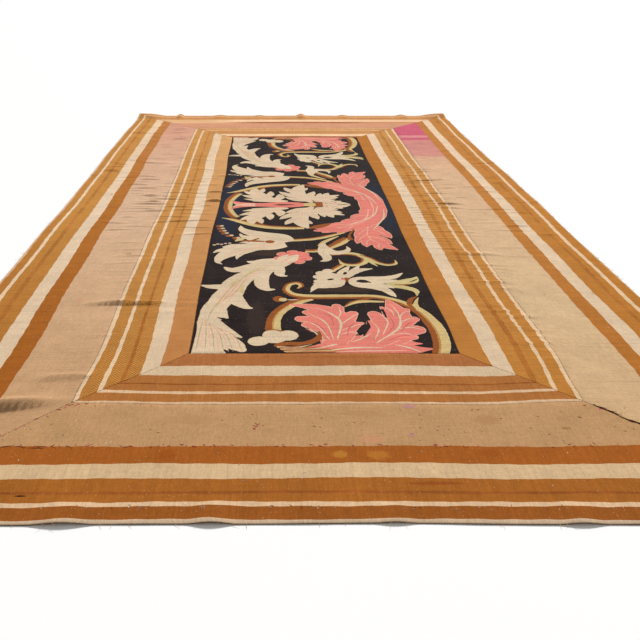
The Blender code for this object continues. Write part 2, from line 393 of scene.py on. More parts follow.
def wool(name, dye, ribs, stains_and_shade_marks=(), twill=False, streaks=0.10, mottle=0.07, weft_streaks=False,
         crease_shade_depth=0.0):
    """Hand-spun wool weft over cotton warp. Its ribs follow each other along x or y."""
    made = bpy.data.materials.new(name)
    made.use_nodes = True
    tree = made.node_tree
    shader = tree.nodes["Principled BSDF"]
    place = add(tree, "TexCoord", out=3)
    x = add(tree, "SeparateXYZ", place, out=0)
    y = add(tree, "SeparateXYZ", place, out=1)
    step, other = (x, y) if ribs == "x" else (y, x)
    fine = (420, 90, 200) if ribs == "x" else (90, 420, 200)
    long_streak = (70, 3.5, 1) if (ribs == "x") != weft_streaks else (3.5, 70, 1)

    colour = dyed(tree, place, dye)
    fibre = noise(tree, place, fine, 3.0)
    streak = noise(tree, place, long_streak)
    cloudy = noise(tree, place, (6.5, 6.5, 1), 3.0)
    slub = noise(tree, place, (26, 150, 1) if ribs == "y" else (150, 26, 1), 3.0)
    cross = noise(tree, place, (150, 12, 1) if ribs == "y" else (12, 150, 1), 2.0)
    tone = 1.0
    for layer, low, high, dark, light in (
        (fibre, 0.25, 0.75, 0.84, 1.16), (slub, 0.25, 0.75, 0.91, 1.09), (cross, 0.3, 0.7, 0.94, 1.06),
        (streak, 0.3, 0.7, 1 - streaks, 1 + streaks), (cloudy, 0.3, 0.7, 1 - mottle, 1 + mottle),
    ):
        shade = add(tree, "MapRange", layer, low, high, dark, light)
        tone = add(tree, "Math", tone, shade, operation="MULTIPLY")

    wander = add(tree, "Math", noise(tree, place, (35, 35, 1)), 0.0024, step, operation="MULTIPLY_ADD")
    pitch = RIB_PITCH
    if twill:
        pitch = TWILL_PITCH
        zigzag = add(tree, "Math", other, TWILL_BLOCK, operation="PINGPONG")
        wander = add(tree, "Math", wander, zigzag, operation="ADD")
    rib = add(tree, "Math", add(tree, "Math", wander, 2 * math.pi / pitch, operation="MULTIPLY"),
              operation="SINE")
    # Painted shade: the colour darkens in the troughs of the ribs, in step with the bump, and strongly in the
    # twill
    groove_shade = add(tree, "MapRange", rib, -1.0, 1.0, 0.64 if twill else 0.92, 1.14 if twill else 1.04)
    tone = add(tree, "Math", tone, groove_shade, operation="MULTIPLY")
    # Painted shade: thin dark lines across the strip stand in for the shade in small creases
    if crease_shade_depth:
        line = noise(tree, place, (1.9, 62, 1) if ribs == "y" else (62, 1.9, 1), 1.5)
        crease_shade = add(tree, "MapRange", line, 0.60, 0.74, 1.0, 1 - crease_shade_depth)
        tone = add(tree, "Math", tone, crease_shade, operation="MULTIPLY")
    colour = add(tree, "MixRGB", 1.0, colour, tone, blend_type="MULTIPLY")
    lint = add(tree, "MapRange", noise(tree, place, (130, 130, 1), 1.0), 0.71, 0.79, 0.0, LINT_SHARE)
    colour = add(tree, "MixRGB", lint, colour, linear(LINT))
    colour = marks_and_painted_shade(tree, place, colour, stains_and_shade_marks)
    tree.links.new(colour, shader.inputs["Base Color"])

    height = add(tree, "Math", fibre, 0.7, rib, operation="MULTIPLY_ADD")
    relief = tree.nodes.new("ShaderNodeBump")
    relief.inputs["Strength"].default_value = 0.55
    relief.inputs["Distance"].default_value = 0.0006
    tree.links.new(height, relief.inputs["Height"])
    tree.links.new(relief.outputs["Normal"], shader.inputs["Normal"])
    shader.inputs["Roughness"].default_value = 0.93
    shader.inputs["Specular IOR Level"].default_value = 0.02
    shader.inputs["Sheen Weight"].default_value = 0.004
    shader.inputs["Sheen Roughness"].default_value = 0.6
    return made


# The design is drawn in centimetres from the panel's near left corner. A later shape
# covers an earlier one.
PANEL_YARNS = {
    "charcoal": (46, 38, 37),
    "cream": (219, 195, 163),
    "pink": (226, 128, 114),
    "rose": (208, 104, 98),
    "blush": (232, 176, 150),
    "gold": (209, 181, 124),
    "olive": (205, 184, 128),
    "brown": (150, 85, 44),
    "tan": (196, 160, 122),
    "sand": (206, 178, 142),
    "amber": (184, 134, 76),
    "rust": (176, 112, 62),
}
# The ground's charcoal turns blue-black or brown in places: x, y, half sizes, colour, strength
GROUND_SHADES = [
    (-0.49, -0.005, 0.12, 1.05, (42, 50, 64), 0.75), (0.53, -0.005, 0.11, 0.76, (42, 50, 64), 0.7),
    (-0.2, -0.92, 0.16, 0.07, (74, 58, 48), 0.6), (0.15, -1.42, 0.24, 0.06, (72, 56, 46), 0.6),
    (-0.28, -1.76, 0.06, 0.24, (66, 52, 46), 0.6), (0.0, 1.7, 0.3, 0.2, (60, 58, 64), 0.5),
]
RIB_SHARE = 0.7
drawn = []


def draw(yarn, outline):
    """Keeps a shape, with the small steps that a tapestry weave gives its outline."""
    outline = np.asarray(outline, float)[:, :2]
    step = 0.11 * np.sin(outline[:, ::-1] * 5.3 + outline * 3.1)
    drawn.append((yarn, outline + step))


def smooth(rows, steps=7):
    """A smooth line through the rows, which may carry widths as well as x and y."""
    rows = np.array(rows, float)
    ends = np.vstack([2 * rows[0] - rows[1], rows, 2 * rows[-1] - rows[-2]])
    t = np.linspace(0, 1, steps, endpoint=False)[:, None]
    parts = []
    for a, b, c, d in zip(ends, ends[1:], ends[2:], ends[3:]):
        parts.append(b + 0.5 * t * (c - a + t * (2 * a - 5 * b + 4 * c - d + t * (3 * b - 3 * c + d - a))))
    return np.vstack(parts + [rows[-1:]])


def left_of(line):
    """Unit vectors to the left of a line at each of its points."""
    run = np.gradient(line[:, :2], axis=0)
    run /= np.maximum(np.linalg.norm(run, axis=1, keepdims=True), 1e-6)
    return np.column_stack([-run[:, 1], run[:, 0]])


def stem(rows, *lanes):
    """A band along x, y, half width rows, woven in lanes: yarn, from, to (-1 right, 1 left)."""
    line = smooth(rows)
    side = left_of(line) * np.abs(line[:, 2:3])
    for yarn, right, left in lanes:
        draw(yarn, np.vstack([line[:, :2] + side * right, (line[:, :2] + side * left)[::-1]]))


def blade(yarn, *rows):
    """A plain curled leaf or petal of one yarn."""
    stem(rows, (yarn, -1, 1))


def blades(yarn, *shapes, thin=1):
    """Several blades of one yarn, each narrowed by the same share."""
    for rows in shapes:
        blade(yarn, *((x, y, half * thin) for x, y, half in rows))


def oval(yarn, x, y, half_x, half_y, turn=0):
    """An oval of one yarn, turned by some degrees."""
    angle = np.linspace(0, 2 * math.pi, 20, endpoint=False)
    turn = math.radians(turn)
    a, b = half_x * np.cos(angle), half_y * np.sin(angle)
    outline = np.column_stack([x + a * math.cos(turn) - b * math.sin(turn),
                               y + a * math.sin(turn) + b * math.cos(turn)])
    draw(yarn, outline)


def flower(yarn, x, y, radius, petals, depth, turn=0):
    """A round flower with scalloped petals."""
    share = np.linspace(0, 1, petals * 8, endpoint=False)
    reach = radius * (1 - depth * (1 - np.abs(np.sin(math.pi * petals * share)) ** 0.6))
    angle = 2 * math.pi * share + math.radians(turn)
    draw(yarn, np.column_stack([x + reach * np.cos(angle), y + reach * np.sin(angle)]))


def acanthus(yarn, rim, vein, rows, lobes, outline=0.4):
    """A leaf of overlapping lobes along a core. Each lobe has its share along the core, its
    tip's x and y, and its half width."""
    line = smooth(rows, 10)
    wider = [(x, y, half + outline) for x, y, half in rows]
    blade(rim, *wider)
    veins = []
    for share, x, y, half in lobes:
        at = int(share * (len(line) - 1))
        start = line[at, :2]
        ahead = line[min(at + 6, len(line) - 1), :2] - line[max(at - 6, 0), :2]
        ahead /= np.linalg.norm(ahead)
        tip = np.array((x, y), float)
        reach = np.linalg.norm(tip - start)
        middle = start + 0.5 * (tip - start) - ahead * 0.17 * reach
        shoulder = start + 0.82 * (tip - start) - ahead * 0.10 * reach
        for colour, more in ((rim, outline), (yarn, 0)):
            blade(colour, (*start, half * 0.8 + more), (*middle, half + more),
                  (*shoulder, half * 0.74 + more),
                  (*(tip + (tip - shoulder) * more / 3), 0.3))
        veins.append(((*(start * 0.9 + middle * 0.1), 0.22), (*middle, 0.3),
                      (*(shoulder * 0.7 + tip * 0.3), 0.08)))
    blade(yarn, *rows)
    for rows_of_vein in veins:
        blade(vein, *rows_of_vein)
    spine = [(x, y, max(0.12, 0.42 * (1 - k / len(rows)))) for k, (x, y, half) in enumerate(rows[:-1])]
    blade(vein, *spine)


def lobes_of(yarn, rim, lobes, outline=0.3):
    """A leaf of overlapping lobes, each a row of x, y and half width, inside one thin rim."""
    for colour, more in ((rim, outline), (yarn, 0)):
        for rows in lobes:
            blade(colour, *((x, y, half + more) for x, y, half in rows))
            tip_x, tip_y, tip_half = rows[-1]
            if tip_half > 1:
                oval(colour, tip_x, tip_y, tip_half + more, tip_half + more)


# Long cream leaf down the left side, from the rosette to the near edge
lobes_of("cream", "sand", [
    [(47, 114, 4), (43, 107, 5.2), (37.5, 100, 5.6), (30, 92, 5.8), (22.4, 84, 5.8), (17.6, 75, 6.4),
     (15.8, 66, 6.4), (13.6, 58, 7.2), (10.4, 51, 5.6), (8.2, 44, 5.6), (7.6, 37, 5.6), (6.4, 30, 5),
     (8, 22, 6.4), (9.2, 12, 7.6), (8, -4, 6.8)],
    [(38, 106, 4), (31, 105, 3.6), (26.4, 104.2, 2.4), (22.2, 105.4, 0.4)],
    [(34, 99, 5), (26.6, 97, 5.4), (19.6, 94, 3.8), (14.4, 93.4, 2.6), (10.4, 97, 0.4)],
    [(15, 69, 4), (9, 70.4, 2.8), (4.6, 70.8, 2), (0.3, 72.4, 0.4)],
    [(38, 101, 4), (40, 94, 2.7), (40, 88.4, 2.6), (41.2, 85.4, 1.5), (44, 84.4, 0.3)],
    [(32, 93, 5), (31.2, 85, 3.4), (30.6, 77, 3.6), (31.6, 70.8, 3), (34, 67.2, 1.7), (37.6, 67, 0.3)],
    [(16, 58, 5.5), (19.8, 51.5, 3.6), (23.2, 46.4, 1.9), (26.4, 44.8, 0.4)],
    [(9.5, 46, 4), (11.6, 40, 3), (13.4, 36.4, 1.6), (15, 33.8, 0.3)],
    [(7, 30, 4.6), (12.6, 22.6, 3.6), (17.4, 17.6, 2.4), (21.8, 14.4, 0.3)],
    [(10, 20, 6), (15.4, 11.6, 4.6), (19.8, 6.4, 3.6), (22.4, 3, 1.6)],
])
blades("charcoal", ((15.8, 31.2, 1.7), (13, 33.2, 1), (9.8, 35, 0.1)),
       ((22.8, 12.4, 0.9), (20.4, 13.8, 0.6), (18.4, 15.2, 0.1)),
       ((20.4, -1, 1.8), (16.8, 0.8, 1.3), (14.2, 3.6, 0.1)))
blade("tan", (34, 99, 0.1), (24, 87, 0.3), (16.5, 72, 0.35), (12, 58, 0.3), (7.4, 42, 0.25), (5, 26, 0.1))
blade("blush", (38, 102, 0.1), (30, 92, 0.3), (21.6, 77, 0.3), (17.6, 62, 0.3), (12.6, 47, 0.2),
      (9, 34, 0.1))
for fan in range(11):
    blade(("tan", "blush")[fan % 2], (3.6 + 0.7 * fan, 34 - fan, 0.1), (3 + 1.5 * fan, 17, 0.26),
          (2.6 + 2 * fan, 1.5, 0.1))
for fan in range(6):
    blade(("blush", "tan")[fan % 2], (8 + 0.9 * fan, 44 + 2 * fan, 0.1),
          (11.4 + 1.4 * fan, 60 + fan, 0.26),
          (17 + 1.2 * fan, 78 + fan, 0.1))
blades("olive",
       ((22, 74, 0.2), (20.8, 67, 1), (21.6, 61, 0.2)),
       ((19, 81, 0.2), (16.6, 76, 0.9), (14.6, 71, 0.2)),
       ((30, 97, 0.2), (25, 91, 0.9), (22, 85, 0.2)))

# Pink leaf along the near edge, and the brown root knot at its left end
blades("pink",
       ((50, 3, 2.4), (60, 5, 4.6), (72, 5, 6), (86, 5, 5.6), (96, 3.4, 3.4), (104.5, 4.2, 0.3)),
       ((82, 7, 4), (92, 8.4, 3), (100.2, 8.8, 0.3)),
       ((56, 9, 3), (68, 10.4, 5), (80, 11, 5), (92, 10.4, 3), (97, 9.8, 0.6)))
for fan in range(9):
    base = 37 + 2 * fan
    blade(("brown", "sand", "rust")[fan % 3], (36.6 + 0.5 * fan, 6.5 - 0.7 * fan, 0.5),
          (base + 6, 5.4 - 0.5 * fan, 0.62),
          (base + 13, 8.6 - 0.8 * fan, 0.12))
blade("brown", (36, 6.4, 0.6), (38.4, 8.2, 1.8), (42, 8.6, 1.6), (48, 8.6, 1.4), (53, 11, 1.8),
      (55.6, 14.4, 1.2), (55.8, 18, 0.2))
blades("cream",
       ((56, 5, 0.2), (62, 7.5, 0.6), (66, 11, 0.2)),
       ((58, 2, 0.2), (70, 4.5, 0.6), (82, 4.8, 0.2)))
blade("blush", (62, 1, 0.2), (76, 1.8, 0.5), (92, 2.4, 0.2))
blade("cream", (88, 7.5, 0.2), (94, 4.6, 0.6), (98, 1, 0.2))

# Gold and brown scroll, round the pair of pink leaves
stem([(36, 18, 3.6), (35.6, 26, 3.4), (37, 36, 3.2), (41.5, 45, 3.1), (48, 52, 3.1), (55, 56, 2.2)],
     ("gold", -1, 0.1), ("brown", 0.1, 1), ("amber", -0.1, 0.15))
blade("brown", (32.5, 19.8, 0.8), (36, 20.6, 1.8), (39.6, 20, 0.8))
stem([(106, -2, 3.6), (108.6, 8, 3.9), (109, 20, 3.9), (107.6, 31, 3.7), (105, 41, 3.2), (100, 49, 2.6),
      (93, 55, 2.2), (84, 58, 2.3), (70, 57.8, 2.6), (56, 57.8, 2.6), (47, 60, 2.3), (43.2, 66, 1.9),
      (44.6, 73, 1.7), (48.8, 75.2, 1.7), (51, 71.4, 1.4), (49, 68, 0.6)],
     ("gold", -1, 0.25), ("brown", 0.25, 1), ("amber", 0.05, 0.3))
blades("brown",
       ((46, 54.2, 0.8), (51, 55.2, 0.9), (56, 55.6, 0.3)),
       ((103.4, 43.5, 0.4), (101.6, 49, 1.2), (103.2, 55, 1.3), (107.1, 59, 0.2)))
blade("gold", (105, 43, 0.8), (104.6, 49.5, 1.2), (107.2, 57.5, 0.2))
oval("brown", 39, 55.4, 2.6, 3.4)
oval("gold", 41.2, 54.6, 2, 2.1)
blade("cream", (42.8, 54.4, 0.3), (46, 54.2, 0.5), (48.8, 54.3, 0.15))
blade("brown", (70.3, 47, 0.2), (74, 51, 1), (79, 54, 1), (86, 56.4, 0.4))
blade("gold", (70, 46, 0.2), (75.5, 50.6, 1.1), (81, 52.4, 1.4), (90, 52, 0.8))

# Pair of pink leaves inside the scroll
lobes_of("pink", "blush", [
    [(62, 8, 5), (63.6, 18, 6.6), (63.4, 28, 9), (60.6, 38, 8.4), (56, 44.6, 4.4), (50, 47.4, 1.8),
     (43.8, 48.6, 0.3)],
    [(60, 37, 6), (54.6, 38.6, 3.4), (51.8, 40, 1.9)], [(60, 30, 6), (52.4, 32, 3.8), (48.6, 33, 2.6)],
    [(60, 22, 5), (53.4, 26, 3), (50.4, 26.8, 1.7)], [(63, 36, 5), (66.4, 44, 3.2), (66.4, 47, 1.9)],
    [(66, 28, 6), (71, 35.6, 3.8), (73.2, 38.6, 2.2)], [(66, 20, 5), (71.6, 26, 3.4), (77, 28.6, 0.4)],
    [(66, 13, 4), (69.8, 17.6, 2.2), (71, 18.4, 1.5)],
], 0.4)
blades("cream", ((58, 11, 0.3), (53.6, 20, 0.5), (49, 25.4, 0.1)),
       ((60, 12, 0.3), (55.4, 26, 0.5), (47.6, 32.4, 0.1)),
       ((62, 12, 0.3), (59.6, 29, 0.5), (52, 39.6, 0.1)),
       ((63.4, 12, 0.4), (66.4, 30, 0.8), (60, 42, 0.3), (51, 45.6, 0.1)),
       ((65.4, 17, 0.3), (70, 19.4, 0.4), (73.4, 17, 0.1)),
       ((66, 21, 0.3), (71.4, 25, 0.5), (77, 28, 0.1)),
       ((66.6, 27, 0.3), (71, 33, 0.5), (75.8, 39.4, 0.1)),
       ((65.6, 33, 0.3), (67.6, 40, 0.4), (67, 47, 0.1)), thin=RIB_SHARE)
blades("rose", ((56, 14, 0.2), (52, 21, 0.5), (50, 23, 0.1)),
       ((59, 17, 0.2), (56.4, 26, 0.6), (51, 32, 0.1)), ((68, 16, 0.2), (70, 24, 0.6), (74, 30, 0.1)),
       ((63, 26, 0.2), (62.4, 35, 0.6), (57, 42, 0.1)), thin=RIB_SHARE)
oval("charcoal", 49.4, 16, 5.2, 4.8)
blade("brown", (38, 9.4, 1), (43, 9.2, 1.1), (48.4, 9.2, 1.1), (53, 11.6, 1.3), (55.8, 15.6, 1.2),
      (56, 20.4, 0.3))
lobes_of("pink", "blush", [
    [(78, 10, 6), (86, 19, 8), (91, 29, 8), (94, 39, 5.6), (93, 47, 3.4), (91.6, 54.6, 0.3)],
    [(86, 25, 5), (83.8, 33, 3), (83, 37.8, 2.9)], [(84, 20, 5), (80.6, 27, 2.4), (79.4, 31, 0.8)],
    [(90, 39, 3), (88.2, 43.4, 1.2), (87.4, 46.4, 0.3)],
    [(94, 38, 5), (98, 41.6, 2.2), (99.8, 44.6, 0.5)],
    [(94, 29, 6), (99, 32, 3), (100.6, 33, 2.2)], [(92, 20, 6), (98, 21.4, 4.2), (99.8, 22, 3.8)],
    [(90, 13, 5), (95, 14.4, 2.6), (97, 14.8, 2)],
], 0.4)
blade("charcoal", (87.4, 43.4, 0.9), (88, 37, 0.5), (87.6, 31, 0.1))
blades("cream", ((80, 9, 0.4), (92, 24, 0.8), (94.4, 38, 0.5), (92.4, 50, 0.1)),
       ((80, 13, 0.3), (82.6, 22, 0.5), (80.6, 31.4, 0.1)),
       ((84, 17, 0.3), (88, 30, 0.5), (85.6, 39.4, 0.1)),
       ((88, 17, 0.3), (94, 18.4, 0.4), (98.4, 15, 0.1)),
       ((90.6, 22, 0.3), (97, 24.4, 0.5), (102.8, 22, 0.1)),
       ((92.6, 28, 0.3), (97.6, 33, 0.5), (102, 33, 0.1)),
       ((94, 34, 0.3), (97, 40, 0.4), (100.6, 41.6, 0.1)),
       ((92, 36, 0.2), (91.6, 42, 0.4), (89, 45.6, 0.1)),
       ((70, 10, 0.3), (75, 14, 0.6), (79, 18.5, 0.2)), thin=RIB_SHARE)
blades("rose", ((85, 11, 0.2), (92, 16, 0.7), (98, 16, 0.1)),
       ((86, 18, 0.2), (90, 26, 0.6), (90, 34, 0.1)), ((92, 20, 0.2), (97, 28, 0.6), (101, 30, 0.1)),
       thin=RIB_SHARE)
blade("charcoal", (75.4, 15.6, 0.3), (76.4, 20, 1.1), (78.6, 25, 0.9), (78.6, 31, 0.3))

# Trefoil leaf
blade("charcoal", (24, 6.4, 2), (32, 6, 2), (37, 3.4, 1))
oval("sand", 35.2, 17, 4.5, 4.7, -10)
oval("cream", 35.2, 17, 4.2, 4.4, -10)
oval("sand", 42, 16.4, 4.7, 4.9, 10)
oval("cream", 42, 16.4, 4.4, 4.6, 10)
oval("sand", 29.2, 11.2, 5, 4.3, 20)
oval("cream", 29.2, 11.2, 4.7, 4, 20)
oval("cream", 37, 12.2, 4.4, 2.8, 20)
blades("sand",
       ((37, 11.8, 0.2), (35.6, 14, 0.2), (35, 16.4, 0.1)),
       ((39, 12.4, 0.2), (41, 14.4, 0.2), (42, 17, 0.1)))

# Rosette of pink petals with a cream heart, and the stems that leave it
flower("blush", 47.6, 111.6, 10.9, 7, 0.30, 12)
flower("pink", 47.6, 111.6, 10.4, 7, 0.30, 12)
flower("rose", 49.6, 113.6, 7.4, 6, 0.30, 40)
flower("pink", 50.4, 114.2, 6.4, 5, 0.18, 10)
blades("cream",
       ((38, 101, 2.5), (43, 106.5, 4.6), (46.5, 110, 4.4), (50.5, 115.2, 0.6)),
       ((41, 107, 3), (42.5, 112, 2.2), (45, 115.8, 0.4)))
blade("blush", (40, 103, 0.4), (44, 108, 0.8), (47, 112, 0.3))
stem([(55, 121.5, 2.2), (60, 121.5, 2.4), (66.5, 124.5, 2.4), (71.5, 129.5, 2.8), (76.5, 136, 3.4),
      (81, 143, 2.6)],
     ("gold", -1, 0), ("brown", 0, 1), ("amber", -0.12, 0.12))
stem([(44.5, 139, 2), (52, 139.8, 2.2), (60, 141.4, 2.2), (67, 144.6, 2.2), (74, 149.2, 1.8),
      (80, 153, 1)],
     ("gold", -1, 0.35), ("brown", 0.35, 1), ("amber", 0.2, 0.4))
blade("gold", (63.5, 129, 1.2), (66, 135, 1.5), (71, 141, 1.2), (76, 146, 0.4))

# Cream husks, and the olive scroll that rises through them
stem([(67.3, 90.5, 1.6), (70.6, 95.5, 1.8), (74, 100, 1.8)], ("gold", -1, 0.1), ("brown", 0.1, 1))
stem([(69, 115.6, 1.8), (76, 117, 2.2), (82.5, 116, 2.3), (87, 110.5, 2.2), (86, 103.6, 2.1),
      (80.5, 99.6, 2), (74.6, 101.6, 1.5), (72.6, 108, 0.2)], ("olive", -1, 1), ("brown", -1, -0.5),
      ("amber", -0.5, -0.3))
stem([(84.5, 114.5, 1.6), (89.4, 109.5, 2), (93.4, 103.6, 1.9), (98.4, 100.6, 1.6), (102.8, 102.4, 1.3),
      (103.4, 107.4, 0.2)],
     ("olive", -1, 1), ("brown", 0.4, 1), ("amber", 0.2, 0.4))
blade("olive", (88.4, 107.5, 0.8), (90.6, 102.4, 1), (92.8, 98, 0.2))
blades("cream",
       ((62.2, 105.2, 0.3), (65.6, 107, 2), (66.4, 112, 2.7), (64.6, 119, 2.7), (65.4, 127, 2.8),
        (66, 134, 1)),
       ((66, 132, 1), (67, 124, 3), (71, 118.4, 3.2), (77, 120, 2.2), (79.6, 124, 1.4), (79, 128.6, 0.2)))
blade("sand", (64, 110, 0.1), (65, 118, 0.3), (66, 128, 0.1))

# Cream bud under the husks
oval("cream", 65.6, 82, 6.4, 6.8)
oval("cream", 62, 87.6, 3.2, 3.2)
oval("cream", 65.6, 91, 3, 3)
oval("cream", 59.8, 83, 2.6, 2.6)
blades("cream",
       ((62, 78, 2.4), (58.6, 77, 2), (57.4, 76.6, 0.4)),
       ((71, 79, 2), (72, 86, 2.4), (74.4, 92, 2.2), (77.4, 97.6, 0.5)),
       ((74, 82, 2), (78, 88.4, 2.6), (83, 92.6, 2.2), (89.6, 94.6, 0.5)),
       ((76, 86, 2), (80, 92.6, 2), (82.8, 99, 0.4)),
       ((68, 81, 5), (62, 74, 3.8), (57.6, 69, 1.8), (55.2, 63.5, 0.2)),
       ((70, 80, 4), (69.5, 73, 3), (64, 70.4, 2), (58, 68.6, 0.4)),
       ((61, 77, 2), (57, 74, 0.3)))
oval("charcoal", 66.2, 79.6, 1.9, 1, 20)
oval("charcoal", 74.4, 88, 1, 1.9, -20)
oval("brown", 75, 79.4, 1.6, 2.6)
oval("rose", 72.6, 80.4, 1, 1.2)

# Bell-shaped cream flower with olive inner petals
blades("olive",
       ((94, 74, 2), (102, 75.8, 3.2), (108.4, 79, 3.2), (111.4, 84, 0.2)),
       ((95, 72, 2), (102.6, 69.8, 2.2), (107.6, 65.6, 1.8), (107.2, 59.5, 0.2)))
blade("charcoal", (106, 76.6, 0.1), (108.6, 78.4, 0.5), (111.6, 81.4, 0.1))
blade("brown", (98, 73, 0.3), (103, 73, 0.7), (108, 74.6, 0.2))
oval("cream", 82.4, 76.2, 7.4, 7.2)
blades("cream",
       ((80, 79.6, 3), (87, 80.6, 3), (94, 81.4, 2.6), (100, 84, 2), (104.6, 88.8, 0.4)),
       ((80, 72.4, 3), (87, 70.6, 3.2), (92.6, 66.4, 2.6), (95.4, 60.6, 1.6), (96.6, 57.6, 0.3)),
       ((88, 76.6, 3.4), (94, 77.4, 2.4), (100.6, 79, 0.5)),
       ((88, 73.4, 3), (94, 71, 2), (97.6, 68.8, 0.4)))
blade("charcoal", (79.4, 77.4, 0.9), (82.6, 77.4, 2.1), (86.8, 75.8, 0.3))
blades("sand",
       ((88, 78.8, 0.1), (95, 79.8, 0.35), (102, 83.4, 0.1)),
       ((84, 71, 0.1), (90, 69, 0.35), (95, 63, 0.1)))

# Great cream tulip at the left
blades("cream",
       ((44.6, 136, 5), (41, 143, 7), (32, 148, 5.6), (23.5, 153, 4.4), (18.4, 158.5, 2.6),
        (16.6, 166, 0.2)),
       ((44, 133, 5), (36, 131.6, 8), (24, 130.6, 7.4), (14, 128.6, 5), (7.5, 128, 0.6)),
       ((34, 138, 6), (25, 143, 4.4), (19, 146.6, 1.8), (17, 151, 0.4)),
       ((36, 130, 5), (24, 126.4, 5.2), (14, 120.4, 5.6), (8, 112, 3.8), (6.4, 105, 1.6),
        (9, 101.2, 0.2)),
       ((26, 126, 4), (19.5, 119.6, 3.2), (17, 113, 1.4), (16.5, 108.6, 0.2)),
       ((12, 124, 4), (6, 122, 2), (3, 118.8, 0.3)))
blade("charcoal", (9, 134.2, 0.5), (14, 134.4, 1.7), (22, 134, 0.2))
oval("brown", 35, 137, 2.9, 2.4)
blades("brown",
       ((14, 140, 0.6), (21, 138.4, 1.1), (27, 138, 1.3), (32, 137.4, 0.8)),
       ((22, 136.4, 0.3), (25.4, 139.6, 0.9), (28.6, 142.8, 0.9)))
blade("sand", (40, 142, 0.1), (31, 147, 0.4), (22.4, 153, 0.3), (18, 161, 0.1))
blades("blush",
       ((40, 130, 0.1), (27, 126.6, 0.5), (16, 120.6, 0.5), (9.6, 112, 0.1)),
       ((42, 133, 0.2), (34, 131.4, 0.6), (25, 130.6, 0.2)),
       ((38, 144, 0.1), (30, 145, 0.4), (24, 148.4, 0.1)))
blade("sand", (30, 123.6, 0.1), (20, 119.6, 0.3), (17.4, 113, 0.1))
blade("olive", (14.6, 137.6, 0.4), (17.6, 141, 2), (21, 144.6, 0.4))
for x, y in ((15.4, 143.4), (11.2, 147.4), (8.2, 151.6), (6.6, 156), (5.2, 160.4), (4.2, 165)):
    oval("brown", x - 1, y, 1.7, 2)
    oval("sand", x + 0.9, y + 0.5, 1.3, 1.5)
for x, y in ((11.6, 134.6), (9.2, 134), (6.9, 132.6), (4.8, 133), (2.8, 131.6)):
    oval("sand", x, y, 1, 1)

# Roundel in the middle of the panel: a brown and gold ring, closed by a pink crescent
stem([(56, 161.4, 2.2), (44, 161.8, 3), (34, 163.6, 3.2), (25, 168, 3.2), (18, 173.2, 3),
      (11, 178.4, 2.2), (3.6, 181.6, 0.3)],
     ("gold", -0.3, 1), ("brown", -1, -0.3), ("amber", -0.45, -0.25))
stem([(12.6, 182.5, 2.8), (9.8, 188, 2.9), (7.6, 195, 3), (6.2, 202, 2.9), (5.8, 211, 2.8)],
     ("brown", 0, 1), ("gold", -1, 0), ("amber", -0.12, 0.12))
blade("brown", (22, 173, 0.3), (25, 174.4, 0.8), (27.6, 172, 0.6), (31, 168.6, 0.4))
acanthus("pink", "blush", "blush",
         [(95, 172, 6), (95, 160, 7), (93.4, 149, 7), (95.6, 138.6, 5.6), (101.4, 130, 3.6),
          (107.6, 123.4, 0.3)],
         [(0.10, 103.4, 153.6, 4), (0.20, 106.8, 143.6, 4), (0.45, 105.6, 133.6, 3.4), (0.20, 86, 143, 3),
          (0.40, 85.8, 134, 3), (0.55, 90.6, 128.4, 3), (0.72, 98, 123.4, 2.6)])
acanthus("pink", "blush", "blush",
         [(102.4, 213, 8.4), (102.2, 197, 8.4), (99, 183, 8.6), (92, 171.6, 8.4), (82.6, 163, 7),
          (72, 158.4, 4.8), (61.4, 155.8, 0.3)],
         [(0.16, 93, 192, 3.6), (0.30, 86, 181.6, 4), (0.45, 79.4, 172.8, 4), (0.60, 70.6, 166.2, 3.8),
          (0.72, 63, 160.4, 3), (0.60, 76, 151.8, 3.2), (0.80, 66.6, 152.6, 2.4)])
blade("brown", (59, 160.6, 1), (64, 163.4, 2.8), (70, 167.6, 2), (72, 170, 0.4))
blade("pink", (61.4, 156, 0.4), (68, 158.4, 3.2), (76, 161, 4.6))
blade("brown", (86.4, 160, 0.2), (84.6, 154, 0.7), (82.4, 147, 0.8), (82.4, 139.6, 1.8))
blades("cream",
       ((84, 168, 0.2), (94, 177, 0.5), (102, 189, 0.5), (106, 208, 0.2)),
       ((98, 158, 0.2), (102, 168, 0.5), (107, 182, 0.5), (109, 200, 0.2)))
blade("blush", (76, 161, 0.2), (88, 170, 0.5), (96, 182, 0.5), (99, 200, 0.2))

# Cream leaves with pink veins, inside the roundel
acanthus("cream", "sand", "blush",
         [(46, 202, 1.2), (38, 199, 2.6), (30.4, 193, 4.8), (25.4, 184.6, 5), (23.4, 176, 3.4),
          (24, 169.6, 0.6)],
         [(0.16, 16.6, 196, 3), (0.36, 14.8, 187, 3.2), (0.55, 16, 177, 2.6),
          (0.22, 40.4, 185, 3), (0.42, 34.6, 178, 2.6), (0.66, 29.6, 170.4, 2.2)], 0.3)
blade("cream", (44, 203, 0.8), (33, 201.6, 1.6), (22, 201, 0.4))
acanthus("cream", "sand", "blush",
         [(62.4, 205, 1.2), (58.4, 197, 3.4), (54.6, 187, 5), (53.6, 176.6, 5), (55.6, 167.4, 3.4),
          (58.6, 160.6, 0.5)],
         [(0.12, 44.6, 191.6, 2.8), (0.30, 40.8, 178.8, 3.2), (0.52, 44.4, 168.4, 2.8),
          (0.32, 65.2, 178.8, 2.8), (0.14, 62, 189, 2), (0.60, 61, 169, 2.2)], 0.3)
acanthus("cream", "sand", "blush",
         [(65, 203, 1.2), (68.6, 198, 3.6), (72.4, 193.6, 4), (77, 190, 2.6), (82.4, 186.8, 0.3)],
         [(0.10, 64.4, 187, 2.2), (0.35, 69.6, 183, 2.4), (0.55, 75, 182, 2.4), (0.40, 81, 192, 2.4),
          (0.12, 78.6, 198.4, 2.6)], 0.3)
